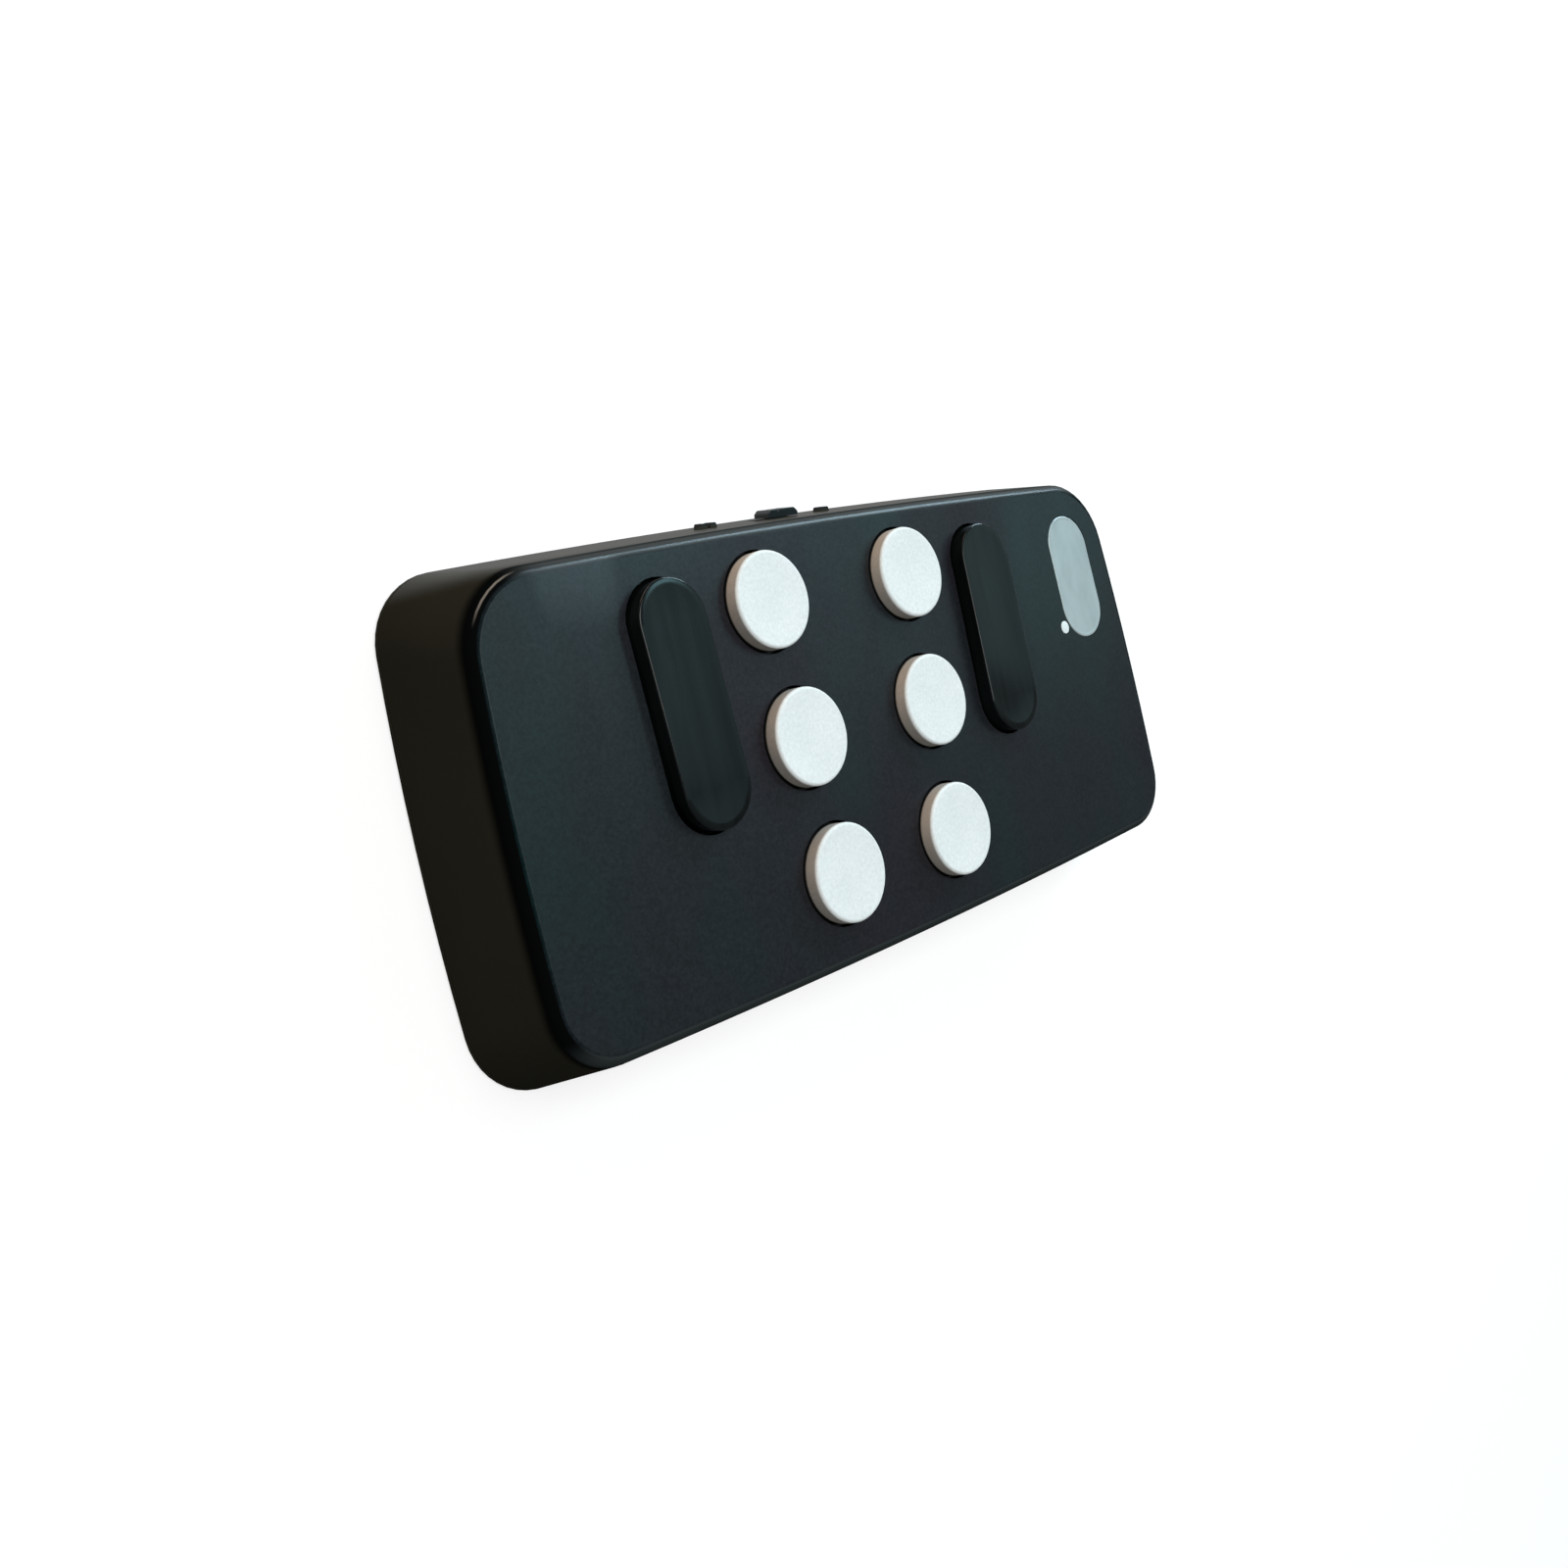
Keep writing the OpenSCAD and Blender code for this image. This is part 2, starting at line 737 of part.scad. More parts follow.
// Long keys have a guide pin towards each end, so that they stay level when pressed at an end
module long_key(i) {
    h = case_d + long_key_proud - rim_low;
    rings = [
        for (level = [[key_rim, 0], [key_rim, key_rim_t], [0, key_rim_t], [0, h - long_key_edge],
                      [-long_key_edge, h]])
            lifted(slot_outline(long_r + level[0], long_half), level[1])
    ];
    guide_low = board_top + key_travel + led_gap - rim_low;
    color(gloss_black)
    at_key(i)
        translate([0, 0, rim_low]) {
            difference() {
                loft(rings);
                translate([0, 0, -sink])
                    slot_prism(long_r - key_skirt_t, long_half, h - key_top_t + sink);
            }
            cylinder(r = stem_r, h = h - key_top_t + sink);
            for (s = [-1, 1])
                translate([0, s * guide_y, guide_low])
                    cylinder(r = guide_r, h = h - key_top_t + sink - guide_low);
        }
}

module guide_bushes() {
    color("ivory")
    for (i = [6, 7], s = [-1, 1])
        at_key(i)
            translate([0, s * guide_y, board_top])
                difference() {
                    cylinder(r = guide_bush_r, h = switch_top - board_top);
                    translate([0, 0, -sink])
                        cylinder(r = guide_bore_r, h = switch_top - board_top + 2 * sink);
                }
}

// Key switches: a base on the board, a snap dome on its floor and a plunger under the key's stem

module switch_base(i) {
    color(dark_grey)
    at_key(i)
        difference() {
            block([switch_w, switch_w, switch_h], 0, 0, board_top);
            translate([0, 0, board_top + switch_floor_t])
                cylinder(r = well_r, h = switch_h - switch_floor_t - switch_lid_t);
            translate([0, 0, switch_top - 2 * switch_lid_t])
                cylinder(r = plunger_r + slip, h = switch_lid_t * 3);
        }
}

module plunger(i) {
    foot = board_top + collar_low;
    color("ivory")
    at_key(i) {
        translate([0, 0, foot]) cylinder(r = collar_r, h = collar_t);
        translate([0, 0, foot]) cylinder(r = plunger_r, h = rim_low - foot);
    }
}

module snap_dome(i) {
    ball_r = (dome_r * dome_r + dome_h * dome_h) / (2 * dome_h);
    low = asin((ball_r - dome_h) / ball_r);
    c = [0, dome_h - ball_r];
    outer = arc(c, ball_r, low, 90, edge_steps);
    inner = arc(c, ball_r - dome_t, 90, asin((ball_r - dome_h) / (ball_r - dome_t)), edge_steps);
    end_x = sqrt(pow(ball_r - dome_t, 2) - pow(ball_r - dome_h, 2));
    color(silver)
    at_key(i)
        translate([0, 0, board_top + switch_floor_t])
            rotate_extrude() polygon(concat(outer, [[0, dome_h]], inner, [[end_x, 0]]));
}

front_shell();
rear_cover();
badge();
light_pipe();
status_led();
case_screws();
board_screws();
circuit_board();
radio_module();
main_chip();
charge_chip_body();  // charge_chip
board_components();
vibration_motor();
battery_cell();
battery_pad();
battery_plug();
battery_socket();
battery_lead_red();
battery_lead_black();
usb_shell();
usb_tongue();
power_switch_body();
power_switch_lever();
power_knob();
guide_bushes();
for (i = [0 : 5])
    round_key(i);
for (i = [6, 7])
    long_key(i);
for (i = [0 : 7]) {
    plunger(i);
    switch_base(i);
    snap_dome(i);
}
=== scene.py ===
import json
import math
import bpy
import bmesh
from mathutils import Matrix, Vector


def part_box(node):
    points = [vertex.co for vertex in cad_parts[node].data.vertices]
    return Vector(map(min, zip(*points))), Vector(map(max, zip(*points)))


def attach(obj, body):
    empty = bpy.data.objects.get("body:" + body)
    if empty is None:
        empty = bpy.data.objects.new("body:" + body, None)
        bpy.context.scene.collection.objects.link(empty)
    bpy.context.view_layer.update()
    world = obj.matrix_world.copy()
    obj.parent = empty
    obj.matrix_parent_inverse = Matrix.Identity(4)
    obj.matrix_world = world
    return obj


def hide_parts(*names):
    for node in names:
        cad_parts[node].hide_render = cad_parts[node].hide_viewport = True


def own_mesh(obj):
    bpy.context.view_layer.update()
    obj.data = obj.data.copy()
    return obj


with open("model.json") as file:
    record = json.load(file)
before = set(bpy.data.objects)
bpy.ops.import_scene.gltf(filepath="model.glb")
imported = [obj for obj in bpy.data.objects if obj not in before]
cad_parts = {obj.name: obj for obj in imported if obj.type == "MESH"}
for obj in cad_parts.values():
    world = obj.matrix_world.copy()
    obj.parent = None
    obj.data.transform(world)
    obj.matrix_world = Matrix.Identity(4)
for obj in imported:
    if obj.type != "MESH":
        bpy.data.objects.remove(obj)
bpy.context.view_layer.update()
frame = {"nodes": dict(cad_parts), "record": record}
mm = 0.001
touching = 1e-6             # m, for points that lie on the same height or edge
creased = 0.5               # radians, an edge that a bevel may take
nodes = frame["nodes"]
print("frame loaded:", len(nodes), "nodes")

dotPlaces = ["left_top", "left_middle", "left_bottom", "right_top", "right_middle", "right_bottom"]
sidePlaces = ["left_long", "right_long"]
allPlaces = dotPlaces + sidePlaces


# camera, fitted to the picture's keys and outline
cameraFit = {
    "place": (-127.45, 9.77, 126.46),           # mm
    "turn": (0.243833, -0.761882, -0.323567),   # radians, XYZ
    "lens": 35.514,
    "shiftY": -0.1,
}

camData = bpy.data.cameras.new("camera")
camData.lens = cameraFit["lens"]
camData.sensor_width = 36
camData.sensor_fit = "AUTO"
camData.shift_y = cameraFit["shiftY"]
camData.clip_start = 0.01
camera = bpy.data.objects.new("camera", camData)
camera.location = [c * mm for c in cameraFit["place"]]
camera.rotation_euler = cameraFit["turn"]
bpy.context.scene.collection.objects.link(camera)
bpy.context.scene.camera = camera
print("camera placed")


# studio: world, lamps and floor
studio = {
    "world": (0.18, 0.195, 0.20),
    "floorTone": (0.34, 0.34, 0.34),
    "floorLift": 0.72,          # brings the lit floor to white, its shadow stays
    "floorSize": 6.0,
}
lamps = {
    # name: place in mm, size in mm, watts, colour, point that it faces
    "topPanel": ((-150, 152, 680), (600, 385), 3.9, (1.0, 0.99, 0.97), (-150, 152, 0)),
    "warmSide": ((-120, 420, 45), (300, 70), 0.5, (1.0, 0.74, 0.52), (0, 25, 8)),
    "coolEdge": ((420, 330, 230), (240, 110), 2.0, (0.62, 0.86, 1.0), (0, 0, 10)),
    "facePanel": ((524, 125, 476), (340, 380), 0.27, (0.58, 0.95, 1.0), (0, 0, 12)),
    "topSheen": ((291, 105, 385), (90, 60), 0.095, (0.45, 0.90, 1.0), (-31, 21, 12)),
}


def link(tree, source, out, target, into):
    tree.links.new(source.outputs[out], target.inputs[into])


def addLamp(name):
    place, size, watts, colour, aim = lamps[name]
    data = bpy.data.lights.new(name, "AREA")
    data.shape = "RECTANGLE"
    data.size, data.size_y = size[0] * mm, size[1] * mm
    data.energy = watts
    data.color = colour
    lamp = bpy.data.objects.new(name, data)
    lamp.location = Vector(place) * mm
    facing = (Vector(aim) - Vector(place)).normalized()
    lamp.rotation_euler = facing.to_track_quat("-Z", "Y").to_euler()
    bpy.context.scene.collection.objects.link(lamp)


for lampName in lamps:
    addLamp(lampName)

world = bpy.data.worlds.new("studio")
world.use_nodes = True
world.node_tree.nodes["Background"].inputs["Color"].default_value = (*studio["world"], 1)
bpy.context.scene.world = world
bpy.context.scene.view_settings.view_transform = "Standard"

bm = bmesh.new()
bmesh.ops.create_grid(bm, x_segments=1, y_segments=1, size=studio["floorSize"] / 2)
floorMesh = bpy.data.meshes.new("floor")
bm.to_mesh(floorMesh)
bm.free()
floor = bpy.data.objects.new("floor", floorMesh)
bpy.context.scene.collection.objects.link(floor)

floorMat = bpy.data.materials.new("paleFloor")
floorMat.use_nodes = True
tree = floorMat.node_tree
tree.nodes.clear()
output = tree.nodes.new("ShaderNodeOutputMaterial")
matt = tree.nodes.new("ShaderNodeBsdfDiffuse")
matt.inputs["Color"].default_value = (*studio["floorTone"], 1)
lift = tree.nodes.new("ShaderNodeEmission")
path = tree.nodes.new("ShaderNodeLightPath")
seen = tree.nodes.new("ShaderNodeMath")
seen.operation = "ADD"
seenToo = tree.nodes.new("ShaderNodeMath")
seenToo.operation = "ADD"
seenToo.use_clamp = True
level = tree.nodes.new("ShaderNodeMath")
level.operation = "MULTIPLY"
level.inputs[1].default_value = studio["floorLift"]
both = tree.nodes.new("ShaderNodeAddShader")
link(tree, path, "Is Camera Ray", seen, 0)
link(tree, path, "Is Glossy Ray", seen, 1)
link(tree, seen, 0, seenToo, 0)
link(tree, path, "Is Transmission Ray", seenToo, 1)
link(tree, seenToo, 0, level, 0)
link(tree, level, 0, lift, "Strength")
link(tree, matt, 0, both, 0)
link(tree, lift, 0, both, 1)
link(tree, both, 0, output, "Surface")
floorMesh.materials.append(floorMat)
print("studio ready")


# shared finishes: a mould grain and a patchy tone, both on object coordinates
def newGroup(name, inputs, outputs):
    group = bpy.data.node_groups.new(name, "ShaderNodeTree")
    for label, kind, value in inputs:
        socket = group.interface.new_socket(label, in_out="INPUT", socket_type=kind)
        if value is not None:
            socket.default_value = value
    for label, kind in outputs:
        group.interface.new_socket(label, in_out="OUTPUT", socket_type=kind)
    start = group.nodes.new("NodeGroupInput")
    end = group.nodes.new("NodeGroupOutput")
    return group, start, end


def buildGrainGroup():
    # fine pits of a spark-eroded mould over slow waves, as a height from 0 to 1
    group, start, end = newGroup(
        "mouldGrain",
        [("Vector", "NodeSocketVector", None), ("Scale", "NodeSocketFloat", 6000.0),
         ("Pits", "NodeSocketFloat", 0.6)],
        [("Height", "NodeSocketFloat"), ("Sparkle", "NodeSocketFloat")])
    fine = group.nodes.new("ShaderNodeTexNoise")
    fine.inputs["Detail"].default_value = 3
    fine.inputs["Roughness"].default_value = 0.65
    pits = group.nodes.new("ShaderNodeTexVoronoi")
    pits.feature = "SMOOTH_F1"
    pits.inputs["Smoothness"].default_value = 0.6
    blend = group.nodes.new("ShaderNodeMix")
    blend.data_type = "FLOAT"
    sparkle = group.nodes.new("ShaderNodeMapRange")
    sparkle.inputs["From Min"].default_value = 0.35
    sparkle.inputs["From Max"].default_value = 0.7
    link(group, start, "Vector", fine, "Vector")
    link(group, start, "Scale", fine, "Scale")
    link(group, start, "Vector", pits, "Vector")
    link(group, start, "Scale", pits, "Scale")
    link(group, start, "Pits", blend, 0)
    link(group, fine, "Fac", blend, 2)
    link(group, pits, "Distance", blend, 3)
    link(group, fine, "Fac", sparkle, "Value")
    link(group, blend, 0, end, "Height")
    link(group, sparkle, "Result", end, "Sparkle")
    return group


def buildToneGroup():
    # slow drift between two tones, with roughness drifting with it
    group, start, end = newGroup(
        "patchyTone",
        [("Vector", "NodeSocketVector", None), ("Scale", "NodeSocketFloat", 90.0),
         ("Light", "NodeSocketColor", (0.5, 0.5, 0.5, 1)), ("Dark", "NodeSocketColor", (0.4, 0.4, 0.4, 1)),
         ("Rough Low", "NodeSocketFloat", 0.4), ("Rough High", "NodeSocketFloat", 0.5)],
        [("Color", "NodeSocketColor"), ("Roughness", "NodeSocketFloat"), ("Mask", "NodeSocketFloat")])
    drift = group.nodes.new("ShaderNodeTexNoise")
    drift.inputs["Detail"].default_value = 2
    drift.inputs["Roughness"].default_value = 0.55
    spread = group.nodes.new("ShaderNodeMapRange")
    spread.inputs["From Min"].default_value = 0.2
    spread.inputs["From Max"].default_value = 0.8
    tone = group.nodes.new("ShaderNodeMix")
    tone.data_type = "RGBA"
    rough = group.nodes.new("ShaderNodeMapRange")
    link(group, start, "Vector", drift, "Vector")
    link(group, start, "Scale", drift, "Scale")
    link(group, drift, "Fac", spread, "Value")
    link(group, spread, "Result", tone, 0)
    link(group, start, "Dark", tone, 6)
    link(group, start, "Light", tone, 7)
    link(group, spread, "Result", rough, "Value")
    link(group, start, "Rough Low", rough, "To Min")
    link(group, start, "Rough High", rough, "To Max")
    link(group, tone, 2, end, "Color")
    link(group, rough, "Result", end, "Roughness")
    link(group, spread, "Result", end, "Mask")
    return group


grainGroup = buildGrainGroup()
toneGroup = buildToneGroup()


def useGroup(tree, group, values):
    node = tree.nodes.new("ShaderNodeGroup")
    node.node_tree = group
    for label, value in values.items():
        node.inputs[label].default_value = value
    return node


def finish(name, light, dark, rough, grain, toneScale, metal=0.0, specular=0.5, stretch=(1, 1, 1)):
    # light and dark are linear colours; grain is scale per metre, share of pits and depth in mm
    material = bpy.data.materials.new(name)
    material.use_nodes = True
    tree = material.node_tree
    shader = tree.nodes["Principled BSDF"]
    shader.inputs["Metallic"].default_value = metal
    shader.inputs["Specular IOR Level"].default_value = specular
    spot = tree.nodes.new("ShaderNodeTexCoord")
    mapping = tree.nodes.new("ShaderNodeMapping")
    mapping.inputs["Scale"].default_value = stretch
    tone = useGroup(tree, toneGroup, {
        "Scale": toneScale, "Light": (*light, 1), "Dark": (*dark, 1),
        "Rough Low": rough[0], "Rough High": rough[1]})
    pits = useGroup(tree, grainGroup, {"Scale": grain[0], "Pits": grain[1]})
    bump = tree.nodes.new("ShaderNodeBump")
    bump.inputs["Distance"].default_value = grain[2] * mm
    link(tree, spot, "Object", mapping, "Vector")
    link(tree, mapping, "Vector", tone, "Vector")
    link(tree, mapping, "Vector", pits, "Vector")
    link(tree, tone, "Color", shader, "Base Color")
    link(tree, tone, "Roughness", shader, "Roughness")
    link(tree, pits, "Height", bump, "Height")
    link(tree, bump, "Normal", shader, "Normal")
    return material


def spanRamp(tree, axes, axis, span):
    # smoothly from 0 to 1 over a span in mm along an axis
    ramp = tree.nodes.new("ShaderNodeMapRange")
    ramp.interpolation_type = "SMOOTHSTEP"
    ramp.inputs["From Min"].default_value = span[0] * mm
    ramp.inputs["From Max"].default_value = span[1] * mm
    link(tree, axes, axis, ramp, "Value")
    return ramp


def maths(tree, operation, first, second):
    # first and second are nodes, joined by their first output, or plain numbers
    node = tree.nodes.new("ShaderNodeMath")
    node.operation = operation
    for spot, value in enumerate((first, second)):
        if isinstance(value, (int, float)):
            node.inputs[spot].default_value = value
        else:
            link(tree, value, 0, node, spot)
    return node


def band(tree, axes, *spans):
    # product of the ramps over some (axis, span) pairs
    ramps = [spanRamp(tree, axes, axis, span) for axis, span in spans]
    made = ramps[0]
    for ramp in ramps[1:]:
        made = maths(tree, "MULTIPLY", made, ramp)
    return made


def mixTone(tree, share, below, above):
    # colour mix; below is a socket, above a socket or a colour
    node = tree.nodes.new("ShaderNodeMix")
    node.data_type = "RGBA"
    link(tree, share, 0, node, 0)
    tree.links.new(below, node.inputs[6])
    if isinstance(above, tuple):
        node.inputs[7].default_value = (*above, 1)
    else:
        tree.links.new(above, node.inputs[7])
    return node.outputs[2]


def grainy(tree, pits, tone, span):
    # a tone made a little darker and lighter by the mould's grain
    fleck = tree.nodes.new("ShaderNodeMapRange")
    fleck.inputs["To Min"].default_value, fleck.inputs["To Max"].default_value = span
    scaled = tree.nodes.new("ShaderNodeVectorMath")
    scaled.operation = "SCALE"
    link(tree, pits, "Sparkle", fleck, "Value")
    tree.links.new(tone, scaled.inputs[0])
    link(tree, fleck, "Result", scaled, "Scale")
    return scaled.outputs[0]


def partsOf(material):
    # what a finish's tree is made of, and its object axes
    tree = material.node_tree
    groups = {n.node_tree.name: n for n in tree.nodes if n.type == "GROUP"}
    mapping = [n for n in tree.nodes if n.type == "MAPPING"][0]
    axes = tree.nodes.new("ShaderNodeSeparateXYZ")
    link(tree, mapping, "Vector", axes, "Vector")
    return tree, tree.nodes["Principled BSDF"], groups["patchyTone"], groups["mouldGrain"], axes, mapping


shellFinish = {
    "faceLight": (0.0035, 0.0150, 0.0155), "faceDark": (0.0175, 0.0115, 0.0172),
    "wallLight": (0.0262, 0.0242, 0.0175), "wallDark": (0.0195, 0.0178, 0.0124),
    # crease is painted shade: a near-black tone for the edge fillet
    "crease": (0.0024, 0.0027, 0.0028), "mark": (0.003, 0.003, 0.003),
    # the lower and upper edge tones are painted light that makes those fillets paler
    "lowEdgePaintedLight": (0.024, 0.029, 0.030), "topTone": (0.030, 0.033, 0.033),
    # the glint colour is a painted highlight on the upper left corner's fillet
    "paintedGlint": (0.15, 0.13, 0.11), "rough": (0.285, 0.33), "specular": 0.0,
    "faceCoat": (0.38, 0.82), "topCoat": 0.30, "edgeCoat": 0.45, "lowCoat": 0.55, "wornCoat": 1.0,
    "coatRough": 0.305, "coatGrain": (2800, 0.003),         # ripples per metre, depth in mm
    "grain": (2800, 0.45, 0.007), "fleck": (0.65, 1.35), "toneScale": 55, "streak": (1, 0.45, 1),
    # spans in mm: wall tone to the crease's painted shade, that shade to face tone, matt edge to satin face
    "turn": (10.4, 11.9), "faceFrom": (12.60, 12.69), "satinFace": (12.688, 12.699),
    # satin upper wall, upper and lower edge, face worn smooth beside the left long key
    "topWall": (("Y", (22.0, 24.0)), ("Z", (11.6, 10.8))),
    "topEdge": (("X", (-46, -40)), ("Y", (20.5, 22.5)), ("Z", (12.0, 12.5))),
    "lowSatin": (("Y", (-19, -22)), ("Z", (12.55, 12.67))),
    "worn": (("X", (-46, -41)), ("X", (-28, -35)), ("Y", (6, 23)), ("Z", (12.38, 12.66))),
    # painted glint, a painted highlight round the upper left corner; lower and upper edge painted paler as
    # painted light; dark raised marks
    "glint": (("Z", (12.28, 12.34)), ("Z", (12.47, 12.42)), ("Y", (18, 20.5)), ("X", (-43.5, -46))),
    "low": (("Y", (-19, -22)), ("Z", (11.6, 12.0)), ("Z", (12.69, 12.66))),
    "high": (("X", (-46, -40)), ("Y", (20.5, 22.5)), ("Z", (10.6, 11.4)), ("Z", (12.69, 12.66))),
    "marks": (("Y", (25.0, 25.06)), ("Z", (4.15, 4.25))),
}


def shellMaterial():
    # satin black: teal on the face, browner and matt on the walls, with painted shade along the edge fillet,
    # painted light on the lower and upper edges and a painted glint at the upper left corner
    s = shellFinish
    material = finish("satinShell", s["faceLight"], s["faceDark"], s["rough"], s["grain"], s["toneScale"],
                      specular=s["specular"])
    tree, shader, faceTone, pits, axes, mapping = partsOf(material)
    streak = tree.nodes.new("ShaderNodeMapping")
    streak.inputs["Scale"].default_value = s["streak"]
    wallTone = useGroup(tree, toneGroup, {
        "Scale": s["toneScale"], "Light": (*s["wallLight"], 1), "Dark": (*s["wallDark"], 1)})
    link(tree, mapping, "Vector", streak, "Vector")
    link(tree, streak, "Vector", faceTone, "Vector")
    link(tree, streak, "Vector", wallTone, "Vector")
    # painted shade: the upper wall and the edge fillet are painted near black
    tone = mixTone(tree, spanRamp(tree, axes, "Z", s["turn"]), wallTone.outputs["Color"], s["crease"])
    face = grainy(tree, pits, faceTone.outputs["Color"], s["fleck"])
    tone = mixTone(tree, spanRamp(tree, axes, "Z", s["faceFrom"]), tone, face)
    # painted light: the lower and upper edge fillets are painted paler
    tone = mixTone(tree, band(tree, axes, *s["low"]), tone, s["lowEdgePaintedLight"])
    tone = mixTone(tree, band(tree, axes, *s["high"]), tone, s["topTone"])
    tone = mixTone(tree, band(tree, axes, *s["marks"]), tone, s["mark"])
    # painted highlight: a pale glint round the upper left corner
    glint = band(tree, axes, *s["glint"])
    tone = mixTone(tree, glint, tone, s["paintedGlint"])
    tree.links.new(tone, shader.inputs["Base Color"])
    drift = tree.nodes.new("ShaderNodeMapRange")
    drift.inputs["To Min"].default_value, drift.inputs["To Max"].default_value = s["faceCoat"]
    link(tree, faceTone, "Mask", drift, "Value")
    shine = maths(tree, "MULTIPLY", spanRamp(tree, axes, "Z", s["satinFace"]), drift)
    shares = [(glint, s["wornCoat"])]
    shares += [(band(tree, axes, *s[part]), s[coat]) for part, coat in (
        ("worn", "wornCoat"), ("topWall", "topCoat"), ("topEdge", "edgeCoat"), ("lowSatin", "lowCoat"))]
    for share, coat in shares:
        shine = maths(tree, "MAXIMUM", shine, maths(tree, "MULTIPLY", share, coat))
    link(tree, shine, 0, shader, "Coat Weight")
    shader.inputs["Coat Roughness"].default_value = s["coatRough"]
    ripple = tree.nodes.new("ShaderNodeTexNoise")
    ripple.inputs["Scale"].default_value = s["coatGrain"][0]
    ripple.inputs["Detail"].default_value = 3
    uneven = tree.nodes.new("ShaderNodeBump")
    uneven.inputs["Distance"].default_value = s["coatGrain"][1] * mm
    link(tree, mapping, "Vector", ripple, "Vector")
    link(tree, ripple, "Fac", uneven, "Height")
    link(tree, uneven, "Normal", shader, "Coat Normal")
    return material


keyFinish = {
    "light": (0.79, 0.82, 0.815), "dark": (0.73, 0.765, 0.76), "rough": (0.52, 0.62),
    "grain": (2600, 0.4, 0.008), "fleck": (0.93, 1.06), "toneScale": 260, "specular": 0.35,
    # the skirt is painted darker and warmer than the top as painted shade, and painted near black where it runs
    # in its hole as painted shade
    "skirt": (0.58, 0.51, 0.445), "skirtTo": (14.2, 13.9),
    "shade": (0.012, 0.012, 0.012), "shadeTo": (12.9, 12.62),
}


def keyMaterial():
    k = keyFinish
    material = finish("mattKeyWhite", k["light"], k["dark"], k["rough"], k["grain"], k["toneScale"],
                      specular=k["specular"])
    tree, shader, topTone, pits, axes = partsOf(material)[:5]
    # painted shade: the key's sides are painted darker and warmer than its top
    tone = mixTone(tree, spanRamp(tree, axes, "Z", k["skirtTo"]), topTone.outputs["Color"], k["skirt"])
    tone = grainy(tree, pits, tone, k["fleck"])
    # painted shade: the skirt's foot is painted near black where it runs in its hole
    tone = mixTone(tree, spanRamp(tree, axes, "Z", k["shadeTo"]), tone, k["shade"])
    tree.links.new(tone, shader.inputs["Base Color"])
    return material


materials = {
    "shell_black": shellMaterial(),
    "key_white": keyMaterial(),
    "key_gloss_black": finish("glossKeyBlack", (0.0080, 0.0115, 0.0118), (0.0001, 0.0001, 0.0001), (0.09, 0.16),
                              (900, 0.1, 0.0006), 420, specular=0.22, stretch=(1, 0.12, 1)),
    "knob_black": finish("satinKnob", (0.006, 0.010, 0.011), (0.004, 0.007, 0.008), (0.33, 0.42),
                         (7000, 0.4, 0.003), 500, specular=0.22),
    "badge_silver": finish("satinPlate", (0.455, 0.525, 0.53), (0.345, 0.41, 0.415), (0.36, 0.44),
                           (5200, 0.3, 0.003), 420, metal=0.25, stretch=(1, 0.5, 1)),
    "light_white": finish("lightPipeWhite", (0.78, 0.83, 0.83), (0.70, 0.76, 0.77), (0.20, 0.26),
                          (4000, 0.2, 0.001), 700),
    "ivory_plastic": finish("ivoryPlastic", (0.80, 0.76, 0.65), (0.72, 0.67, 0.55), (0.45, 0.55),
                            (6000, 0.4, 0.004), 300),
    "dark_plastic": finish("darkPlastic", (0.032, 0.032, 0.034), (0.022, 0.022, 0.024), (0.45, 0.58),
                           (7000, 0.5, 0.004), 300),
    "board_green": finish("boardGreen", (0.012, 0.11, 0.05), (0.006, 0.065, 0.03), (0.28, 0.40),
                          (1800, 0.6, 0.012), 420),
    "tan_ceramic": finish("tanCeramic", (0.44, 0.31, 0.19), (0.33, 0.23, 0.14), (0.40, 0.55),
                          (7000, 0.5, 0.004), 900),
    "steel": finish("satinSteel", (0.52, 0.53, 0.55), (0.40, 0.41, 0.43), (0.28, 0.38),
                    (9000, 0.1, 0.0015), 260, metal=1.0, stretch=(0.15, 1, 1)),
    "dome_steel": finish("domeSteel", (0.66, 0.67, 0.68), (0.55, 0.56, 0.58), (0.12, 0.22),
                         (5000, 0.1, 0.001), 400, metal=1.0),
    "cell_foil": finish("cellFoil", (0.60, 0.61, 0.63), (0.48, 0.49, 0.51), (0.28, 0.40),
                        (500, 0.8, 0.03), 80, metal=0.85),
    "adhesive_pad": finish("adhesivePad", (0.54, 0.50, 0.34), (0.44, 0.40, 0.26), (0.70, 0.85),
                           (2500, 0.7, 0.02), 200),
    "lead_red": finish("leadRed", (0.52, 0.025, 0.022), (0.40, 0.015, 0.014), (0.36, 0.48),
                       (6000, 0.3, 0.003), 500),
    "lead_black": finish("leadBlack", (0.022, 0.022, 0.022), (0.014, 0.014, 0.014), (0.36, 0.48),
                         (6000, 0.3, 0.003), 500),
}
slotOf = {row["node"]: row["material_slot"] for row in frame["record"]["subparts"]}
for node, shown in nodes.items():
    if not shown.material_slots:
        shown.data.materials.append(materials[slotOf[node]])
    for held in shown.material_slots:
        held.material = materials[slotOf[node]]
print("finishes made:", len(materials))


# mesh helpers
def nodeMesh(node):
    # merged copy of a CAD node with its flat faces joined up again
    bm = bmesh.new()
    bm.from_mesh(nodes[node].data)
    bmesh.ops.remove_doubles(bm, verts=bm.verts, dist=2e-7)
    bmesh.ops.dissolve_limit(bm, angle_limit=math.radians(0.05), verts=bm.verts, edges=bm.edges)
    return bm


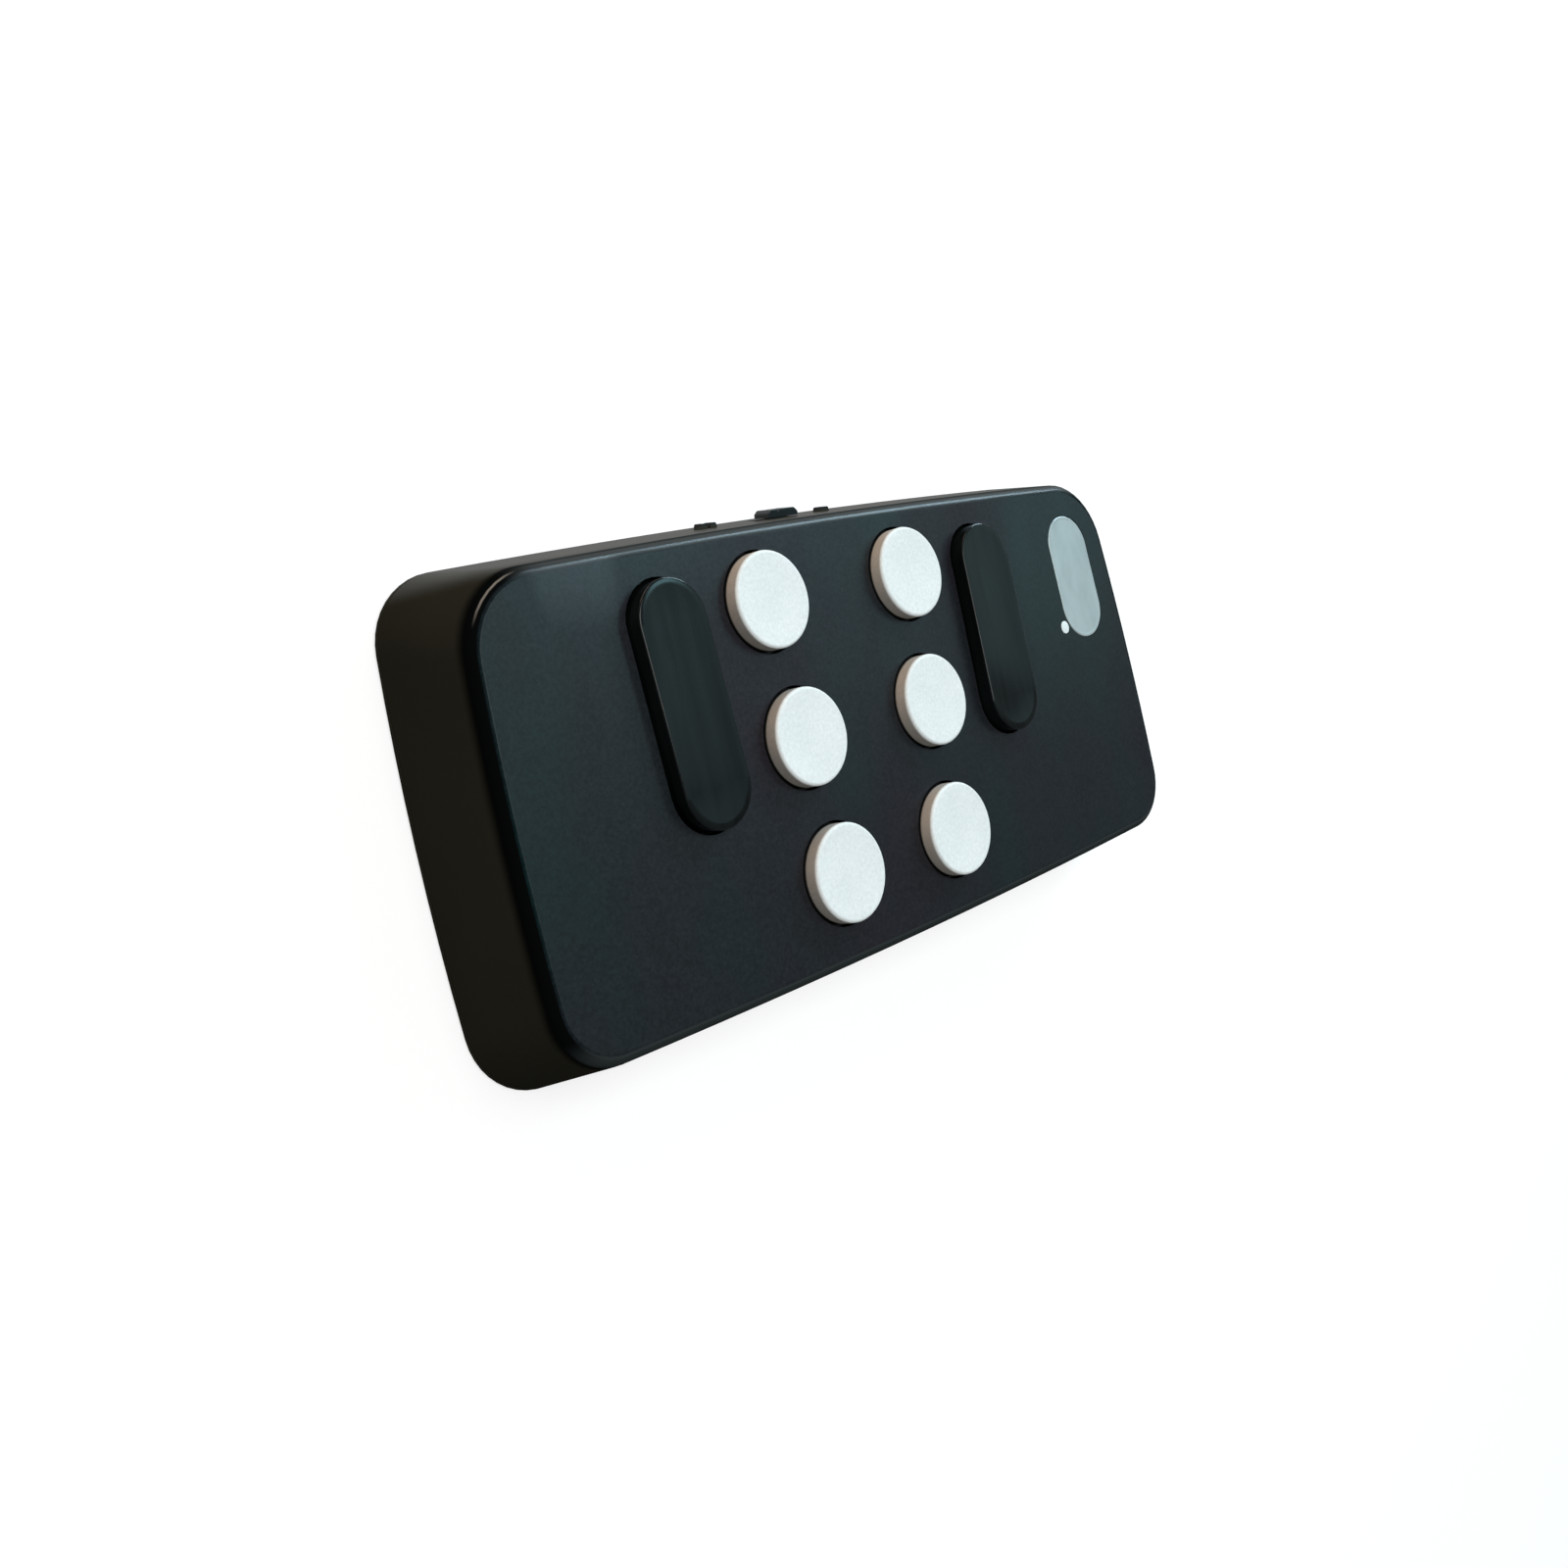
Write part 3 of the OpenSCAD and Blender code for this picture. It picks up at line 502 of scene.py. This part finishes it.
def bevelEdges(bm, edges, width, segments):
    bmesh.ops.bevel(bm, geom=edges, offset=width, offset_type="OFFSET", affect="EDGES",
                    segments=segments, profile=0.5, material=-1, clamp_overlap=True)


def faceToward(bm, direction):
    # the face that lies furthest along a direction and looks that way
    direction = Vector(direction)
    facing = [f for f in bm.faces if f.normal.dot(direction) > 0.99]
    return max(facing, key=lambda f: (round(f.calc_center_median().dot(direction), 7), f.calc_area()))


def raiseFace(bm, face, height):
    made = bmesh.ops.extrude_discrete_faces(bm, faces=[face])["faces"][0]
    bmesh.ops.translate(bm, verts=made.verts, vec=(0, 0, height))
    return made


def slotBlock(bm, radius, half, low, high, segments=72):
    # a cylinder pulled apart along Y into a slot with round ends
    turn = Matrix.Rotation(math.pi / segments, 4, "Z")
    middle = Matrix.Translation((0, 0, (low + high) / 2))
    made = bmesh.ops.create_cone(bm, cap_ends=True, segments=segments, radius1=radius, radius2=radius,
                                 depth=high - low, matrix=middle @ turn)["verts"]
    for v in made:
        v.co.y += half if v.co.y > 0 else -half


def spinPiece(bm, profile, centre, around):
    # a turned form from points of radius and height
    line = [bm.verts.new((centre.x + x, centre.y, z)) for x, z in profile]
    edges = [bm.edges.new(pair) for pair in zip(line, line[1:])]
    bmesh.ops.spin(bm, geom=line + edges, cent=(centre.x, centre.y, 0), axis=(0, 0, 1), dvec=(0, 0, 0),
                   angle=2 * math.pi, steps=around, use_merge=True)
    bmesh.ops.remove_doubles(bm, verts=bm.verts, dist=1e-7)
    bmesh.ops.recalc_face_normals(bm, faces=bm.faces)


def pin(bm, radius, low, high, place=(0, 0), segments=32):
    bmesh.ops.create_cone(bm, cap_ends=True, segments=segments, radius1=radius, radius2=radius,
                          depth=high - low, matrix=Matrix.Translation((*place, (low + high) / 2)))


def addPiece(name, bm, body, slotName, stands, sharp=35, weighted=True, flatAt=None):
    # flatAt: height of a flat face that keeps its own shading at its edges
    for face in bm.faces:
        face.smooth = True
    for edge in bm.edges:
        level = [flatAt is not None and min(v.co.z for v in f.verts) > flatAt - 1e-7 for f in edge.link_faces]
        edge.smooth = edge.calc_face_angle(0) < math.radians(sharp) and len(set(level)) == 1
    mesh = bpy.data.meshes.new(name)
    bm.to_mesh(mesh)
    bm.free()
    piece = bpy.data.objects.new(name, mesh)
    bpy.context.scene.collection.objects.link(piece)
    mesh.materials.append(materials[slotName])
    if weighted:
        even = piece.modifiers.new("evenNormals", "WEIGHTED_NORMAL")
        even.keep_sharp = True
    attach(piece, body)
    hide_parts(*stands)
    return piece


# front shell: the CAD skin with smooth corners and broken edges round its openings
frontShell = {
    "holeEdge": 0.06, "plateEdge": 0.05, "markEdge": 0.09, "markLow": 4.1, "markHigh": 5.7,
    "knobOut": 0.9,             # how far the knob stands out past the marks' roots
    "corner": (0.9, 1.9),       # radians between faces that meet at an opening's edge
}


def buildFrontShell():
    f = frontShell
    bm = nodeMesh("front_shell")
    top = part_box("front_shell")[1].z
    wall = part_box("power_knob")[1].y - f["knobOut"] * mm
    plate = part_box("badge")
    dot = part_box("light_pipe")
    rims, plateRims, marks = [], [], []
    for edge in bm.edges:
        if not f["corner"][0] < edge.calc_face_angle(0) < f["corner"][1]:
            continue
        at = edge.verts[0].co
        if min(v.co.z for v in edge.verts) > top - touching:
            nearPlate = plate[0].x - mm < at.x and plate[0].y - mm < at.y < plate[1].y + mm
            nearDot = dot[0].x - mm < at.x < dot[1].x + mm and dot[0].y - mm < at.y < dot[1].y + mm
            (plateRims if nearPlate or nearDot else rims).append(edge)
        elif all(f["markLow"] * mm < v.co.z < f["markHigh"] * mm and v.co.y > wall for v in edge.verts):
            marks.append(edge)
    bevelEdges(bm, plateRims, f["plateEdge"] * mm, 1)
    bevelEdges(bm, [e for e in rims if e.is_valid], f["holeEdge"] * mm, 2)
    bevelEdges(bm, [e for e in marks if e.is_valid], f["markEdge"] * mm, 2)
    return addPiece("frontShell", bm, "case", "shell_black", ["front_shell"], flatAt=top)


buildFrontShell()
addPiece("rearCover", nodeMesh("rear_cover"), "case", "shell_black", ["rear_cover"])
print("case done")


# round keys: a shallow dish with a soft edge, on a skirt with a rim under the face
dotKey = {
    "rim": 0.8, "rimThick": 0.9, "skirt": 1.0, "topThick": 1.4, "stem": 1.6,
    "edge": 0.34, "edgeShare": 0.98, "dish": 0.16, "dishSteps": 6, "around": 96,
}


def buildDotKey(place):
    k = dotKey
    low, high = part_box("key_" + place)
    centre = (low + high) / 2
    outer = (high.x - low.x) / 2
    r = outer - k["rim"] * mm
    inner = r - k["skirt"] * mm
    under = high.z - k["topThick"] * mm
    stem, rimTop = k["stem"] * mm, low.z + k["rimThick"] * mm
    profile = [(0, low.z), (stem, low.z), (stem, under), (inner, under), (inner, low.z),
               (outer, low.z), (outer, rimTop), (r, rimTop), (r, high.z)]
    reach = r - k["edge"] * mm
    for step in range(k["dishSteps"] + 1):
        share = 1 - step / k["dishSteps"]
        profile.append((reach * share, high.z - k["dish"] * mm * (1 - share * share)))
    bm = bmesh.new()
    spinPiece(bm, profile, centre, k["around"])
    lip = [e for e in bm.edges if all(v.co.z > high.z - touching for v in e.verts)
           and all(abs((v.co - centre).xy.length - r) < touching for v in e.verts)]
    bevelEdges(bm, lip, k["edge"] * k["edgeShare"] * mm, 5)
    return addPiece("dotKey_" + place, bm, place + "_key", "key_white", ["key_" + place])


for place in dotPlaces:
    buildDotKey(place)
print("round keys done")


# long side keys: glossy, with a shallow trough and a fine rounded edge
sideKey = {
    "rim": 0.8, "rimThick": 0.9, "skirt": 1.0, "topThick": 1.4, "stem": 1.6, "guide": 1.0, "guideIn": 2.0,
    "width": 8.8, "length": 25.2, "edge": 0.20, "lean": 2.25, "rings": 6, "ringSpare": 0.6, "dish": 0.09,
    "pinSink": 0.3,             # how far the pins run into the top
}


def buildSideKey(place, side):
    k = sideKey
    low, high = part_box("key_" + place)
    centre = (low + high) / 2
    r = k["width"] / 2 * mm
    half = k["length"] / 2 * mm - r
    rimLow = min(v.co.z for v in nodes["key_" + place].data.vertices if abs(v.co.x - centre.x) > r)
    bm = bmesh.new()
    slotBlock(bm, r + k["rim"] * mm, half, rimLow, rimLow + k["rimThick"] * mm)
    top = faceToward(bm, (0, 0, 1))
    bmesh.ops.inset_region(bm, faces=[top], thickness=k["rim"] * mm, use_even_offset=True)
    top = raiseFace(bm, top, high.z - rimLow - k["rimThick"] * mm)
    bevelEdges(bm, list(top.edges), k["edge"] * mm, 4)
    top = faceToward(bm, (0, 0, 1))
    ringStep = (r - k["edge"] * mm) / (k["rings"] + k["ringSpare"])
    for ring in range(k["rings"]):
        fall = k["dish"] * mm * (2 * (k["rings"] - ring) - 1) / k["rings"] ** 2
        bmesh.ops.inset_region(bm, faces=[top], thickness=ringStep, depth=0, use_even_offset=True)
        bmesh.ops.translate(bm, verts=top.verts, vec=(0, 0, -fall))
    base = faceToward(bm, (0, 0, -1))
    bmesh.ops.inset_region(bm, faces=[base], thickness=(k["rim"] + k["skirt"]) * mm, use_even_offset=True)
    raiseFace(bm, base, high.z - rimLow - k["topThick"] * mm)
    under = high.z + (k["pinSink"] - k["topThick"]) * mm
    pin(bm, k["stem"] * mm, rimLow, under)
    for s in (-1, 1):
        pin(bm, k["guide"] * mm, low.z, under, (0, s * (half - k["guideIn"] * mm)))
    bmesh.ops.recalc_face_normals(bm, faces=bm.faces)
    bmesh.ops.rotate(bm, verts=bm.verts, cent=(0, 0, 0),
                     matrix=Matrix.Rotation(math.radians(-side * k["lean"]), 3, "Z"))
    bmesh.ops.translate(bm, verts=bm.verts, vec=(centre.x, centre.y, 0))
    return addPiece("sideKey_" + place, bm, place + "_key", "key_gloss_black", ["key_" + place])


buildSideKey("left_long", -1)
buildSideKey("right_long", 1)
print("long keys done")


# slider knob: the CAD form with its outer edges broken
sliderKnob = {"edge": 0.12, "segments": 2, "outside": 1.0}


def buildSliderKnob():
    bm = nodeMesh("power_knob")
    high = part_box("power_knob")[1]
    outer = [e for e in bm.edges if min(v.co.y for v in e.verts) > high.y - sliderKnob["outside"] * mm
             and e.calc_face_angle(0) > creased]
    bevelEdges(bm, outer, sliderKnob["edge"] * mm, sliderKnob["segments"])
    return addPiece("sliderKnob", bm, "power_slider", "knob_black", ["power_knob"])


buildSliderKnob()
print("slider done")


# bare plate and status light on the face
plateForm = {"edge": 0.14, "rim": 0.30, "step": 0.02}
pipeForm = {
    "radius": 0.8, "faceThick": 1.6, "collarThick": 1.2, "around": 40,
    "dome": 0.07, "domeShares": (0.8, 0.5, 0.2, 0),
}


def buildPlate():
    low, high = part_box("badge")
    centre = (low + high) / 2
    r = (high.x - low.x) / 2
    half = (high.y - low.y) / 2 - r
    bm = bmesh.new()
    slotBlock(bm, r, half, low.z, high.z)
    top = faceToward(bm, (0, 0, 1))
    bevelEdges(bm, list(top.edges), plateForm["edge"] * mm, 3)
    top = faceToward(bm, (0, 0, 1))
    bmesh.ops.inset_region(bm, faces=[top], thickness=plateForm["rim"] * mm, use_even_offset=True)
    bmesh.ops.inset_region(bm, faces=[top], thickness=plateForm["step"] * mm * 2, use_even_offset=True)
    bmesh.ops.translate(bm, verts=top.verts, vec=(0, 0, -plateForm["step"] * mm))
    bmesh.ops.recalc_face_normals(bm, faces=bm.faces)
    bmesh.ops.translate(bm, verts=bm.verts, vec=(centre.x, centre.y, 0))
    return addPiece("barePlate", bm, "case", "badge_silver", ["badge"], sharp=50)


def buildLightPipe():
    low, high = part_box("light_pipe")
    centre = (low + high) / 2
    p = pipeForm
    r, collar = p["radius"] * mm, (high.x - low.x) / 2
    under = high.z - p["faceThick"] * mm
    step = under - p["collarThick"] * mm
    profile = [(0, low.z), (r, low.z), (r, step), (collar, step), (collar, under), (r, under), (r, high.z)]
    profile += [(r * share, high.z + p["dome"] * mm * (1 - share * share)) for share in p["domeShares"]]
    bm = bmesh.new()
    spinPiece(bm, profile, centre, p["around"])
    return addPiece("lightPipe", bm, "case", "light_white", ["light_pipe"])


buildPlate()
buildLightPipe()
print("plate and light done")


# screws in the back: heads with a soft edge, crosses with clean ones
screwForm = {"edge": 0.14, "cross": 0.04, "segments": 3, "crossReach": 1.2, "headRadius": 1.9}


def buildCaseScrews():
    f = screwForm
    bm = nodeMesh("case_screws")
    low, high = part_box("case_screws")
    heads, crosses = [], []
    for edge in bm.edges:
        if max(v.co.z for v in edge.verts) > low.z + touching or edge.calc_face_angle(0) < creased:
            continue
        middle = (edge.verts[0].co + edge.verts[1].co) / 2
        x = math.copysign(high.x - f["headRadius"] * mm, middle.x)
        y = math.copysign(high.y - f["headRadius"] * mm, middle.y)
        near = math.hypot(middle.x - x, middle.y - y) < f["crossReach"] * mm
        (crosses if near else heads).append(edge)
    bevelEdges(bm, heads, f["edge"] * mm, f["segments"])
    bevelEdges(bm, [e for e in crosses if e.is_valid], f["cross"] * mm, 1)
    return addPiece("caseScrews", bm, "case", "steel", ["case_screws"])


buildCaseScrews()
print("screws done")


# charging port: rolled mouth, tongue and its contacts
portForm = {
    "mouth": 0.10, "tongueThick": 0.7, "tongueEdge": 0.08, "contacts": 12, "pitch": 0.5, "contactWide": 0.26,
    "contactLong": 3.4, "contactThick": 0.04, "contactIn": 0.5, "contactEdge": 0.012,
}


def roundFront(name, node, slotName, width, segments):
    # a merged CAD node with its foremost edges rounded
    bm = nodeMesh(node)
    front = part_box(node)[0].y
    edges = [e for e in bm.edges if max(v.co.y for v in e.verts) < front + touching
             and e.calc_face_angle(0) > creased]
    bevelEdges(bm, edges, width * mm, segments)
    return addPiece(name, bm, "case", slotName, [node])


def buildPort():
    p = portForm
    roundFront("portShell", "usb_shell", "steel", p["mouth"], 3)
    roundFront("portTongue", "usb_tongue", "dark_plastic", p["tongueEdge"], 2)
    tipLow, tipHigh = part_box("usb_tongue")
    middle = (tipLow + tipHigh) / 2
    size = Matrix.Diagonal((p["contactWide"] * mm, p["contactLong"] * mm, p["contactThick"] * mm, 1))
    bm = bmesh.new()
    for side in (-1, 1):
        for i in range(p["contacts"]):
            x = middle.x + (i - (p["contacts"] - 1) / 2) * p["pitch"] * mm
            y = tipLow.y + (p["contactIn"] + p["contactLong"] / 2) * mm
            z = middle.z + side * (p["tongueThick"] + p["contactThick"]) / 2 * mm
            bmesh.ops.create_cube(bm, size=1, matrix=Matrix.Translation((x, y, z)) @ size)
    bevelEdges(bm, list(bm.edges), p["contactEdge"] * mm, 1)
    return addPiece("portContacts", bm, "case", "dome_steel", [])


buildPort()
print("port done")


# snap domes: smooth springs under their plungers
domeForm = {"keep": 0.06, "around": 48, "thick": 0.12, "steps": 8}


def buildDome(place):
    d = domeForm
    low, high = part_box("snap_dome_" + place)
    centre = (low + high) / 2
    r, h = (high.x - low.x) / 2, high.z - low.z
    ball = (r * r + h * h) / (2 * h)
    inner = ball - d["thick"] * mm
    profile = []
    for radius, turn in ((ball, 1), (inner, -1)):
        end = math.acos((ball - h) / radius)
        angles = [end * k / d["steps"] for k in range(d["steps"] + 1)]
        row = [(radius * math.sin(a), high.z - ball + radius * math.cos(a)) for a in angles]
        profile += row[::-turn]
    bm = bmesh.new()
    spinPiece(bm, profile, centre, d["around"])
    piece = addPiece("snapDome_" + place, bm, "case", "dome_steel", ["snap_dome_" + place], weighted=False)
    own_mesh(piece)
    return piece


for place in allPlaces:
    buildDome(place)
print("domes done")
